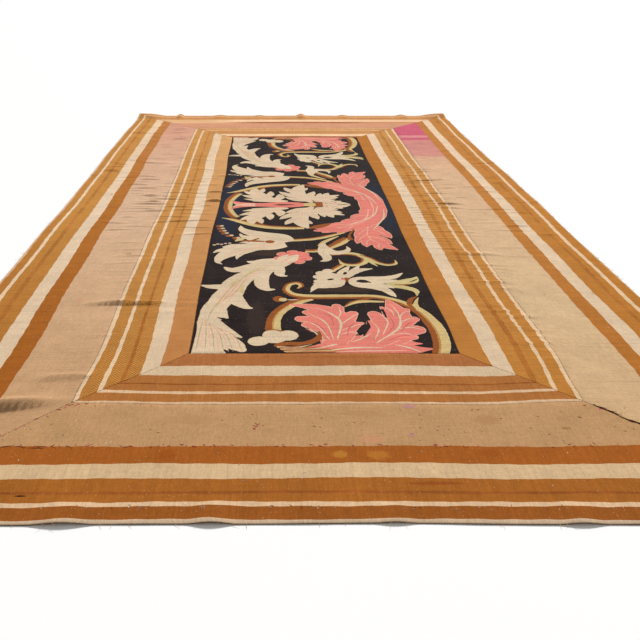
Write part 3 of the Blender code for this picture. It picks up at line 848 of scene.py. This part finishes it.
acanthus("cream", "sand", "rose",
         [(68, 208, 1.6), (75, 206.4, 3), (82, 206.2, 2.6), (88, 208.8, 0.3)],
         [(0.20, 73, 202.2, 1.8), (0.45, 82.4, 201.4, 2.2)], 0.25)
blade("pink", (58, 209, 2.6), (50, 206.5, 2.6), (40, 206, 2.4), (28, 208.6, 3), (16, 208, 3.6),
      (8, 200.4, 0.4))
blade("blush", (24, 211, 2), (15, 210, 2), (9, 205, 0.4))
blade("gold", (57, 210, 3), (62, 209, 3.4), (66, 209.6, 2.6))
blade("brown", (65, 204, 1.6), (67, 208, 2.4), (67, 213, 2.4))

# The cloth's mesh holds every outline, and a grid fine enough for the folds
GRID_PITCH = 2.5
EDGE_STEPS = [0, 0.13, 0.4]
GRID_COLUMNS = 44
GRID_ROWS = 165
FLAT_WIDTH = PANEL_WIDTH * 100
FLAT_LENGTH = PANEL_LENGTH * 100


def turned_left(outline):
    """The outline going anticlockwise, kept inside the panel."""
    outline = np.clip(outline, (0.0, 0.0), (FLAT_WIDTH, FLAT_LENGTH))
    x, y = outline[:, 0], outline[:, 1]
    area = np.sum(x * np.roll(y, -1) - np.roll(x, -1) * y)
    return outline if area > 0 else outline[::-1]


shapes = []
for yarn, outline in drawn:
    mirrored = np.column_stack([outline[:, 0], FLAT_LENGTH - outline[:, 1]])
    shapes.append((yarn, turned_left(outline)))
    shapes.append((yarn, turned_left(mirrored)))

corners = []
joins = []
for yarn, outline in shapes:
    first = len(corners)
    corners += outline.tolist()
    joins += [(first + k, first + (k + 1) % len(outline)) for k in range(len(outline))]
columns, rows = ([*EDGE_STEPS, *np.linspace(GRID_PITCH, across - GRID_PITCH, count),
                  *(across - step for step in reversed(EDGE_STEPS))]
                 for across, count in ((FLAT_WIDTH, GRID_COLUMNS), (FLAT_LENGTH, GRID_ROWS)))
corners += [(x, y) for x in columns for y in rows]
flat, _, triangles, _, _, _ = delaunay_2d_cdt(corners, joins, [], 0, 0.004, False)
flat = np.array([tuple(v) for v in flat])
triangles = np.array(triangles)


def inside(points, outline):
    """Which points lie inside an outline, by its winding number."""
    wound = np.zeros(len(points), int)
    px, py = points[:, 0], points[:, 1]
    for (ax, ay), (bx, by) in zip(outline, np.roll(outline, -1, axis=0)):
        left = (bx - ax) * (py - ay) - (px - ax) * (by - ay)
        wound += (ay <= py) & (by > py) & (left > 0)
        wound -= (ay > py) & (by <= py) & (left < 0)
    return wound != 0


middles = flat[triangles].mean(axis=1)
span = flat[triangles]
double_area = ((span[:, 1, 0] - span[:, 0, 0]) * (span[:, 2, 1] - span[:, 0, 1])
               - (span[:, 2, 0] - span[:, 0, 0]) * (span[:, 1, 1] - span[:, 0, 1]))
triangles[double_area < 0] = triangles[double_area < 0][:, ::-1]
yarn_names = list(PANEL_YARNS)
panel_weft = np.zeros(len(triangles), int)
for yarn, outline in shapes:
    low, high = outline.min(axis=0), outline.max(axis=0)
    near_by = np.flatnonzero(((middles >= low) & (middles <= high)).all(axis=1))
    covered = near_by[inside(middles[near_by], outline)]
    panel_weft[covered] = yarn_names.index(yarn)

panel_x = RINGS[0]["left"] + SEAM_GAP / 2 + flat[:, 0] / FLAT_WIDTH * (PANEL_WIDTH - SEAM_GAP)
panel_y = RINGS[0]["near"] + SEAM_GAP / 2 + flat[:, 1] / FLAT_LENGTH * (PANEL_LENGTH - SEAM_GAP)
to_edge = np.minimum.reduce([flat[:, 0], FLAT_WIDTH - flat[:, 0], flat[:, 1],
                             FLAT_LENGTH - flat[:, 1]]) / 100
uneven = (0.0004 * np.sin(panel_x * 21 + 3 * np.sin(panel_y * 4))
          * np.sin(panel_y * 17 + 2 * np.sin(panel_x * 5)))
panel_top, panel_under = settle(panel_x, panel_y, uneven + seam_shoulder(to_edge))
# Painted shade: the raw sides of every piece are dark brown, partly the darker cut wool and partly the shade
# that falls in the seam gaps
RAW_EDGE_SHADE = (84, 52, 32)
raw_edge_and_shade = wool("raw_edge_and_shade", RAW_EDGE_SHADE, "x", streaks=0.2)
GROUND = {"stains_and_shade_marks": GROUND_SHADES, "streaks": 0.24, "mottle": 0.26}
panel_finishes = [wool("panel_" + yarn, dye, "x", weft_streaks=True,
                       **(GROUND if yarn == "charcoal" else {}))
                  for yarn, dye in PANEL_YARNS.items()]
panel_finishes.append(raw_edge_and_shade)
panel = cloth_piece("woven_panel", panel_top, panel_under, triangles, panel_weft.tolist(),
                    panel_finishes)
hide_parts("centre_panel")


# Border strips
# Eight lengths of striped wool, four round the panel and four round those. Each has its
# stripes woven along it, is cut on the slant at both ends, and is sewn edge to edge.
ENDS = {"near": ("left", "right"), "far": ("left", "right"), "left": ("near", "far"),
        "right": ("near", "far")}
OPEN_SEAM_WIDTH = 0.004
STEP_ALONG = {"near": 0.012, "far": 0.014, "left": 0.007, "right": 0.007}
WIDEST_ROW = 0.030
EDGE_ROWS = (0.0013, 0.004)
END_STEPS = (0.0018, 0.0058)
HEM_WIDTH = 0.018
HEM_RISE = 0.0010
# Stripes from the panel outwards: yarn and width in millimetres
STRIPES = {
    "inner_near": "brown 107, cream 79, ochre 61, worn 9, ochre 48, pale 19, ochre 59, pale 16",
    "outer_near": "beige 264, russet 96, buff 77, bronze 63, worn 13, bronze 38, pale 21, umber 59, edge 18",
    "inner_far": "brown 55, cream 88, ochre 80, worn 14, ochre 75, pale 17, ochre 72, pale 17",
    "outer_far": "beige 240, brown 70, cream 105, bronze 75, worn 14, bronze 50, pale 20, bronze 54, edge 12",
    "inner_left": "twill 102, cream 72, ochre 50, worn 14, ochre 50, pale 17, ochre 55, pale 19",
    "outer_left": "beige 283, russet 85, cream 74, bronze 62, worn 24, bronze 46, pale 20, umber 44, edge 13",
    "inner_right": "twill 104, cream 77, ochre 50, worn 24, ochre 48, pale 17, ochre 52, pale 20",
    "outer_right": "beige 269, russet 74, cream 72, bronze 66, worn 22, bronze 33, pale 22, bronze 50, edge 10",
}
# Dyes along each side; a list gives the colour at places along the rug
DYES = {
    "near": {
        "brown": (171, 107, 62), "cream": (213, 185, 150), "ochre": (173, 110, 58),
        "worn": (154, 88, 42), "pale": (220, 184, 146), "beige": (188, 145, 102),
        "russet": (163, 92, 38), "bronze": (165, 100, 43), "umber": (150, 87, 38),
        "buff": (211, 178, 137), "edge": (204, 176, 146),
    },
    "far": {
        "brown": (176, 108, 70), "cream": (252, 210, 166), "ochre": (208, 148, 92),
        "worn": (184, 118, 70), "pale": (242, 196, 148), "beige": (217, 154, 119),
        "bronze": (211, 148, 92), "edge": (232, 190, 146),
    },
    "left": {
        "twill": [(-2.1, (192, 129, 75)), (0, (210, 152, 96)), (2.1, (224, 170, 112))],
        "cream": [(-2.6, (218, 190, 156)), (0, (232, 205, 174)), (2.6, (240, 206, 170))],
        "ochre": [(-2.6, (182, 122, 58)), (0, (206, 146, 80)), (2.6, (210, 150, 84))],
        "worn": [(-2.6, (160, 96, 44)), (0, (188, 124, 62)), (2.6, (194, 126, 66))],
        "pale": [(-2.6, (224, 192, 156)), (0, (238, 208, 172)), (2.6, (240, 204, 164))],
        "beige": [(-3.0, (188, 145, 103)), (-1.6, (207, 167, 129)), (0, (219, 181, 149)),
                  (1.4, (219, 174, 144)), (2.6, (218, 158, 134))],
        "russet": [(-3.0, (156, 88, 34)), (0, (180, 113, 50)), (2.6, (196, 129, 70))],
        "bronze": [(-3.0, (164, 102, 44)), (0, (200, 140, 70)), (2.6, (204, 144, 76))],
        "umber": [(-3.0, (156, 94, 40)), (0, (194, 132, 66)), (2.6, (194, 136, 72))],
        "edge": [(-3.0, (206, 168, 132)), (0, (222, 184, 150)), (2.6, (226, 184, 146))],
    },
    "right": {
        "twill": [(-2.1, (190, 125, 60)), (0, (191, 121, 52)), (2.1, (193, 121, 50))],
        "cream": [(-2.6, (218, 190, 156)), (0, (231, 203, 171)), (2.6, (241, 208, 174))],
        "ochre": [(-2.6, (186, 123, 56)), (0, (199, 138, 72)), (2.6, (204, 146, 82))],
        "worn": [(-2.6, (168, 104, 48)), (0, (184, 120, 56)), (2.6, (188, 124, 62))],
        "pale": [(-2.6, (224, 190, 150)), (0, (234, 200, 162)), (2.6, (238, 202, 162))],
        # Its far end is woven in pink, then in magenta with one paler bar
        "beige": [(-3.0, (205, 165, 122)), (-1.6, (215, 182, 141)), (0.9, (221, 180, 144)),
                  (1.345, (220, 172, 140)), (1.375, (213, 146, 132)), (1.97, (211, 138, 130)),
                  (2.00, (206, 96, 118)), (2.08, (212, 112, 126)), (2.10, (226, 150, 146)),
                  (2.16, (224, 142, 142)), (2.18, (210, 98, 120)), (2.6, (212, 98, 120))],
        "russet": [(-3.0, (172, 106, 44)), (0, (193, 127, 62)), (2.6, (198, 128, 62))],
        "bronze": [(-3.0, (178, 114, 48)), (0, (195, 129, 60)), (2.6, (198, 132, 64))],
        "edge": [(-3.0, (200, 150, 92)), (0, (206, 150, 96)), (2.6, (226, 184, 140))],
    },
}
# Stains, stray wefts, small slits painted near-black as the shade inside them, and thin bars of painted crease
# shade: x, y, half width, half length, colour, strength
MAUVE_FLECK = (180, 118, 140)
STAINS_AND_SHADE_MARKS = {
    "far brown": [(-1.02, 2.783, 0.7, 0.13, (240, 186, 140), 0.9),
                  (1.04, 2.783, 0.55, 0.13, (212, 150, 102), 0.8)],
    "far cream": [(-1.12, 2.87, 0.6, 0.14, (223, 173, 121), 0.8),
                  (1.1, 2.87, 0.55, 0.14, (238, 190, 150), 0.6)],
    "near beige": [
        (0.297, -2.512, 0.034, 0.02, MAUVE_FLECK, 0.55),
        (0.136, -2.72, 0.06, 0.026, (214, 140, 110), 0.4), (0.28, -2.694, 0.016, 0.018, MAUVE_FLECK, 0.4),
        (1.002, -2.529, 0.022, 0.012, (206, 116, 120), 0.6),
        (0.829, -2.653, 0.022, 0.012, (150, 102, 62), 0.6),
        (0.902, -2.584, 0.01, 0.01, (120, 76, 48), 0.7), (0.56, -2.6, 0.06, 0.04, (170, 124, 80), 0.5),
        (0.12, -2.56, 0.11, 0.03, (172, 128, 88), 0.4), (-0.5, -2.6, 0.14, 0.04, (176, 132, 92), 0.4),
    ],
    "near russet": [
        (0.019, -2.807, 0.034, 0.03, (200, 140, 60), 0.5),
        (0.146, -2.812, 0.05, 0.034, (196, 132, 56), 0.45),
        # Painted shade: the near-black bar on the next line is a small slit, coloured as the shade inside it
        (-1.01, -2.772, 0.045, 0.004, (52, 30, 20), 0.95), (-0.56, -2.81, 0.04, 0.04, (150, 74, 26), 0.5),
        (0.52, -2.8, 0.06, 0.03, (148, 76, 30), 0.5),
    ],
    "near bronze": [
        # Painted shade: these two near-black bars are small slits, coloured as the shade inside them
        (-0.986, -3.022, 0.028, 0.0045, (40, 24, 16), 0.98),
        (-1.0, -3.084, 0.034, 0.004, (60, 40, 30), 0.9),
        (-0.27, -3.1, 0.03, 0.03, (136, 70, 26), 0.5), (0.3, -2.96, 0.12, 0.012, (140, 66, 30), 0.6),
    ],
    "near brown": [(0.08, -2.13, 0.24, 0.018, (158, 92, 46), 0.5)],
    "left beige": [
        (-1.008, -0.931, 0.022, 0.03, (170, 140, 84), 0.6),
        (-0.99, -0.952, 0.01, 0.012, (220, 130, 130), 0.6),
        (-1.141, -1.55, 0.018, 0.014, (220, 128, 128), 0.6),
        # Painted shade: the thin dark bars across the strip from here on stand in for the shade in its creases
        (-1.08, 2.47, 0.085, 0.01, (120, 72, 52), 0.7),
        (-1.04, 2.007, 0.09, 0.009, (130, 80, 58), 0.65), (-1.18, 0.9, 0.11, 0.008, (150, 104, 76), 0.5),
        (-1.06, 1.42, 0.12, 0.009, (150, 100, 76), 0.5), (-1.12, 2.25, 0.1, 0.008, (146, 92, 70), 0.5),
    ],
    "left cream": [(-1.329, 0.243, 0.016, 0.022, (176, 150, 96), 0.6)],
    "right beige": [
        (1.133, -1.494, 0.01, 0.008, (196, 70, 60), 0.8),
        (1.271, -1.96, 0.008, 0.01, (250, 240, 225), 0.8),
        # Painted shade: the two thin dark bars across the strip on the next line stand in for the shade in its
        # creases
        (1.06, -0.3, 0.14, 0.006, (176, 128, 92), 0.5), (1.08, 0.42, 0.12, 0.007, (180, 126, 96), 0.5),
    ],
    "right cream": [(1.36, -1.252, 0.014, 0.016, (226, 190, 90), 0.6)],
}

finishes_made = {}


def strip_finish(side, yarn):
    """The wool of one yarn on one side, made once and shared by that side's strips."""
    name = side + " " + yarn
    if name not in finishes_made:
        ribs = "x" if side in ("near", "far") else "y"
        finishes_made[name] = wool(name.replace(" ", "_"), DYES[side][yarn], ribs,
                                   stains_and_shade_marks=STAINS_AND_SHADE_MARKS.get(name, ()),
                                   twill=yarn == "twill" or name == "left ochre",
                                   streaks=0.035 if yarn in ("beige", "cream") else 0.08,
                                   mottle=0.22 if yarn == "worn" else 0.07,
                                   crease_shade_depth=0.12 if side in ("left", "right") else 0.0)
    return finishes_made[name]


def stripe_rows(stripes, width):
    """Distances of the rows across a strip, and each row's yarn."""
    pairs = [stripe.split() for stripe in stripes.split(", ")]
    scale = width / sum(float(size) for _, size in pairs)
    edges, yarns = [0.0], []
    for yarn, size in pairs:
        size = float(size) * scale
        count = max(1, math.ceil(size / WIDEST_ROW))
        edges += [edges[-1] + size * (k + 1) / count for k in range(count)]
        yarns += [yarn] * count
    first, last = yarns[0], yarns[-1]
    edges = [0.0, *EDGE_ROWS, *edges[1:-1], *(width - row for row in reversed(EDGE_ROWS)), width]
    return np.array(edges), [first] * 2 + yarns + [last] * 2


def steps_along(side, length):
    """Shares along a strip, close together at its ends."""
    count = round(length / STEP_ALONG[side])
    shoulder = [0, *(step / length for step in END_STEPS)]
    middle = list(np.linspace(0, 1, count + 1)[1:-1])
    return np.array(shoulder + middle + [1 - s for s in reversed(shoulder)])


def waver(row, distance):
    """How far a woven stripe's edge wanders, the same for each row of it."""
    return (0.0011 * np.sin(distance * 61 + row * 2.4) + 0.0009 * np.sin(distance * 23 + row * 1.1)
            + 0.0022 * np.sin(distance * 6.1 + row * 0.4))


def make_strip(side, ring_name):
    """One mitred length of striped cloth, from its seams and stripes to the finished piece."""
    ring = 0 if ring_name == "inner" else 1
    first, last = ENDS[side]
    inner, outer = RINGS[ring][side], RINGS[ring + 1][side]
    outward = 1 if outer > inner else -1
    inner += outward * SEAM_GAP / 2
    outer -= outward * SEAM_GAP / 2 * (1 - ring)
    width = abs(outer - inner)
    distances, yarns = stripe_rows(STRIPES[ring_name + "_" + side], width)
    length = RINGS[ring + 1][last] - RINGS[ring + 1][first]
    along = steps_along(side, length)

    across = np.repeat(distances[:, None], len(along), axis=1)
    inner_rows = np.arange(3, len(distances) - 3)
    for row in inner_rows:
        across[row] += waver(row, along * length)
    share = across / width

    def slanted(end):
        start = RINGS[ring][end]
        reach = RINGS[ring + 1][end] - start
        back = SEAM_GAP / 2 * math.sqrt(2)
        if ring == 1 and (side, end) == ("near", "right"):
            back = back + OPEN_SEAM_WIDTH * math.sqrt(2) * bump(1.6 * share - 0.8, 2)
        return start + share * reach - math.copysign(1, reach) * back

    start, stop = slanted(first), slanted(last)
    moving = start + along[None, :] * (stop - start)
    fixed = inner + share * (outer - inner)
    x, y = (moving, fixed) if side in ("near", "far") else (fixed, moving)

    from_end = np.minimum(moving - start, stop - moving) / math.sqrt(2)
    extra = seam_shoulder(across) + seam_shoulder(from_end)
    if ring == 0:
        extra += seam_shoulder(width - across)
    else:
        from_hem = width - across
        extra += HEM_RISE * np.clip(1 - (from_hem / HEM_WIDTH) ** 4, 0, 1) + 1.3 * seam_shoulder(from_hem)
    seam_near = np.exp(-across / 0.03) + (np.exp(-(width - across) / 0.03) if ring == 0 else 0)
    wobble = np.sin(moving * 118 + 2.2 * np.sin(moving * 9)) * np.sin(moving * 31 + 1.3)
    extra += 0.0007 * np.maximum(wobble, -0.4) * np.clip(seam_near, 0, 1) * np.clip(across / 0.006, 0, 1)
    extra += 0.0005 * np.sin(x * 19 + 2 * np.sin(y * 5)) * np.sin(y * 14 + 2 * np.sin(x * 6))

    top, under = settle(x.ravel(), y.ravel(), extra.ravel())
    count = len(along)
    upright = (outward > 0) == (side in ("near", "far"))
    faces, weft = [], []
    names = list(dict.fromkeys(yarns))
    for row in range(len(distances) - 1):
        for column in range(count - 1):
            a = row * count + column
            ring_of_four = (a, a + 1, a + count + 1, a + count)
            faces.append(ring_of_four if upright else ring_of_four[::-1])
            weft.append(names.index(yarns[row]))
    finishes = [strip_finish(side, yarn) for yarn in names] + [raw_edge_and_shade]
    piece = cloth_piece(f"{ring_name}_border_{side}", top, under, faces, weft, finishes)
    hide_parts(f"{ring_name}_strip_{side}")


for side in STRIP_WIDTHS:
    for ring_name in ("inner", "outer"):
        make_strip(side, ring_name)


# Sewing thread
# The strips are whipped together edge to edge with doubled wool thread, one small slanting
# stitch every nine millimetres or so. In the near right corner it has given way.
STITCH_PITCH = 0.0090
STITCH_LENGTH = 0.0095
STITCH_HALF = 0.0012
STITCH_CROWN = 0.0012
STITCH_BELLY = 0.0009
STITCH_TUCK = 0.0008
STITCH_SINK = 0.0002
THREAD = {"inner": (166, 108, 62), "outer": (214, 172, 140)}
CORNER_THREAD = {"inner": (98, 54, 30), "outer": (226, 176, 160)}


def stitch_line(x0, y0, x1, y1, lean):
    """Places and directions of the stitches that cross one seam."""
    length = math.hypot(x1 - x0, y1 - y0)
    count = int(length / STITCH_PITCH)
    heading = math.atan2(y1 - y0, x1 - x0)
    rows = []
    for k in range(1, count):
        share = (k + random.uniform(-0.25, 0.25)) / count
        rows.append((x0 + share * (x1 - x0), y0 + share * (y1 - y0),
                     heading + math.pi / 2 + lean + random.uniform(-0.2, 0.2),
                     STITCH_LENGTH * random.uniform(0.75, 1.2)))
    return rows


def stitches(name, rows, dye):
    """Small stretched eight-sided loops of thread, joined in one mesh."""
    rows = np.array(rows)
    top, _ = settle(rows[:, 0], rows[:, 1], np.zeros(len(rows)))
    points, faces = [], []
    for (x, y, z), heading, size in zip(top, rows[:, 2], rows[:, 3]):
        run = np.array([math.cos(heading), math.sin(heading), 0])
        side = np.array([-run[1], run[0], 0])
        middle = np.array([x, y, z - STITCH_SINK])
        first = len(points)
        half_run = run * size / 2
        tuck = np.array([0, 0, STITCH_TUCK])
        points += [middle - half_run - tuck, middle + half_run - tuck,
                   middle + side * STITCH_HALF, middle - side * STITCH_HALF,
                   middle + (0, 0, STITCH_CROWN), middle - (0, 0, STITCH_BELLY)]
        for a, b in ((2, 4), (4, 3), (3, 5), (5, 2)):
            faces += [(first, first + b, first + a), (first + 1, first + a, first + b)]
    mesh = bpy.data.meshes.new(name)
    mesh.from_pydata([tuple(p) for p in points], [], faces)
    mesh.polygons.foreach_set("use_smooth", np.ones(len(faces), dtype=bool))
    mesh.materials.append(wool(name + "_wool", dye, "x", streaks=0.15, mottle=0.10))
    laid_piece(name, mesh)


random.seed(11)
for ring, ring_name in enumerate(("inner", "outer")):
    edge = RINGS[ring]
    wide = RINGS[ring + 1]
    seam = stitch_line(edge["left"], edge["near"], edge["right"], edge["near"], 0.35)
    seam += stitch_line(edge["right"], edge["near"], edge["right"], edge["far"], 0.35)
    seam += stitch_line(edge["right"], edge["far"], edge["left"], edge["far"], 0.35)
    seam += stitch_line(edge["left"], edge["far"], edge["left"], edge["near"], 0.35)
    stitches(f"ring_stitches_{ring_name}", seam, THREAD[ring_name])
    mitres = []
    for end in ("near", "far"):
        for side in ("left", "right"):
            if ring == 1 and (end, side) == ("near", "right"):
                continue
            mitres += stitch_line(edge[side], edge[end], wide[side], wide[end], 0.3)
    stitches(f"corner_stitches_{ring_name}", mitres, CORNER_THREAD[ring_name])


# Loose ends
# Short ends of yarn stand out from the rug's edge, most of them on the right. Ends of pink,
# dark and white yarn have worked up through the near border, and the open seam has frayed; its dark strands
# also stand in for the shade inside that gap.
FRAY_COUNT = {"right": 420, "left": 90, "near": 40, "far": 30}
FRAY_OUTWARD = {"right": 0, "far": math.pi / 2, "left": math.pi, "near": -math.pi / 2}
CORNER_CLEAR = 0.05
STRAND_ROOT = 0.002
STRAND_STEPS = 3
OPEN_SEAM_STRANDS = 90


def strands(name, rows, half, dye):
    """Bent three-sided strands: x, y, direction, length, bend and fall at each step."""
    rows = np.array(rows)
    base, _ = settle(rows[:, 0], rows[:, 1], np.full(len(rows), half * 0.3))
    points, faces = [], []
    for place, (heading, size, bend, fall) in zip(base, rows[:, 2:]):
        start = len(points)
        across = np.array([-math.sin(heading), math.cos(heading), 0])
        place = place - np.array([math.cos(heading), math.sin(heading), 0]) * STRAND_ROOT - (0, 0, fall)
        for k in range(STRAND_STEPS + 1):
            thick = half * (1 - 0.2 * k)
            points += [place + across * thick, place - across * thick, place + (0, 0, thick * 1.2)]
            turned = heading + bend * (k + 1) / STRAND_STEPS
            place = place + np.array([math.cos(turned) * size / STRAND_STEPS,
                                      math.sin(turned) * size / STRAND_STEPS, -fall])
        for k in range(STRAND_STEPS):
            a = start + 3 * k
            for i in range(3):
                j = (i + 1) % 3
                faces.append((a + i, a + j, a + 3 + j, a + 3 + i))
        faces += [(start + 2, start + 1, start), (start + 9, start + 10, start + 11)]
    mesh = bpy.data.meshes.new(name)
    mesh.from_pydata([tuple(p) for p in points], [], faces)
    mesh.materials.append(wool(name + "_wool", dye, "x"))
    laid_piece(name, mesh)


def scattered(x0, y0, x1, y1, spread, count, size, lean=3.2):
    """Strands strewn along a line, within a spread of it."""
    rows = []
    for _ in range(count):
        share = random.random()
        rows.append((x0 + share * (x1 - x0) + random.uniform(-spread, spread),
                     y0 + share * (y1 - y0) + random.uniform(-spread, spread),
                     math.atan2(y1 - y0, x1 - x0) + random.uniform(-lean, lean),
                     size * random.uniform(0.5, 1.3), random.uniform(-1.2, 1.2), 0))
    return rows


random.seed(23)
fray = []
for side, total in FRAY_COUNT.items():
    first_end, last_end = ENDS[side]
    fixed = RINGS[2][side]
    for _ in range(total):
        moving = random.uniform(RINGS[2][first_end] + CORNER_CLEAR, RINGS[2][last_end] - CORNER_CLEAR)
        x, y = (moving, fixed) if side in ("near", "far") else (fixed, moving)
        fray.append((x, y, FRAY_OUTWARD[side] + random.uniform(-0.9, 0.9), random.uniform(0.006, 0.026),
                     random.uniform(-0.6, 0.6), 0.0005))
strands("frayed_ends", fray, 0.0006, (212, 170, 128))

corner_x, corner_y = RINGS[1]["left"], RINGS[1]["near"]
seam_y = corner_y - 0.262
pink = scattered(-1.35, seam_y, 0.40, seam_y, 0.007, 84, 0.012)
pink += scattered(0.40, seam_y, 1.30, seam_y, 0.007, 20, 0.011)
pink += scattered(corner_x, corner_y - 0.014, -0.62, corner_y - 0.014, 0.010, 14, 0.013)
pink += scattered(corner_x, corner_y, -1.35, -2.90, 0.012, 26, 0.013)
pink += scattered(0.95, corner_y, 1.25, -2.72, 0.014, 12, 0.012)
pink += scattered(-0.272, -2.655, -0.262, -2.625, 0.006, 9, 0.014)
pink += scattered(-0.62, -2.65, 0.3, -2.60, 0.05, 5, 0.010)
strands("pink_ends", pink, 0.0014, (238, 124, 130))
dark = scattered(-1.20, seam_y - 0.002, -0.90, seam_y, 0.002, 14, 0.035, 0.1)
dark += scattered(-0.6, -2.62, 1.1, -2.62, 0.09, 34, 0.009)
dark += scattered(-1.3, -3.075, 1.3, -3.075, 0.010, 30, 0.009)
strands("dark_ends", dark, 0.0010, (128, 84, 60))
white = scattered(-1.3, -2.80, 1.3, -2.80, 0.20, 60, 0.008)
white += scattered(-1.3, -3.075, 1.3, -3.075, 0.012, 50, 0.009)
white += scattered(1.30, -1.9, 1.40, 0.5, 0.08, 12, 0.009)
white += scattered(-1.0, -2.6, -1.3, -2.9, 0.04, 16, 0.010)
strands("white_ends", white, 0.0012, (255, 244, 228))
# Painted shade: dark brown strands fill the open seam, as frayed thread and as the shade inside the gap
gap = []
for k in range(OPEN_SEAM_STRANDS):
    share = 0.04 + 0.96 * (k + random.random()) / OPEN_SEAM_STRANDS
    sway = 0.006 * math.sin(share * 31) + 0.004 * math.sin(share * 73)
    gap.append((RINGS[1]["right"] + share * STRIP_WIDTHS["right"][1],
                corner_y - share * STRIP_WIDTHS["near"][1] + sway,
                -0.82 + random.uniform(-0.25, 0.25), 0.034, random.uniform(-0.3, 0.3), 0))
strands("open_seam_ends_and_shade", gap, 0.0017, (112, 68, 44))

size = {
    "cad": [[float(v) for v in corner] for corner in cad_box],
    "visual": [[float(v) for v in corner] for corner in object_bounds()],
}
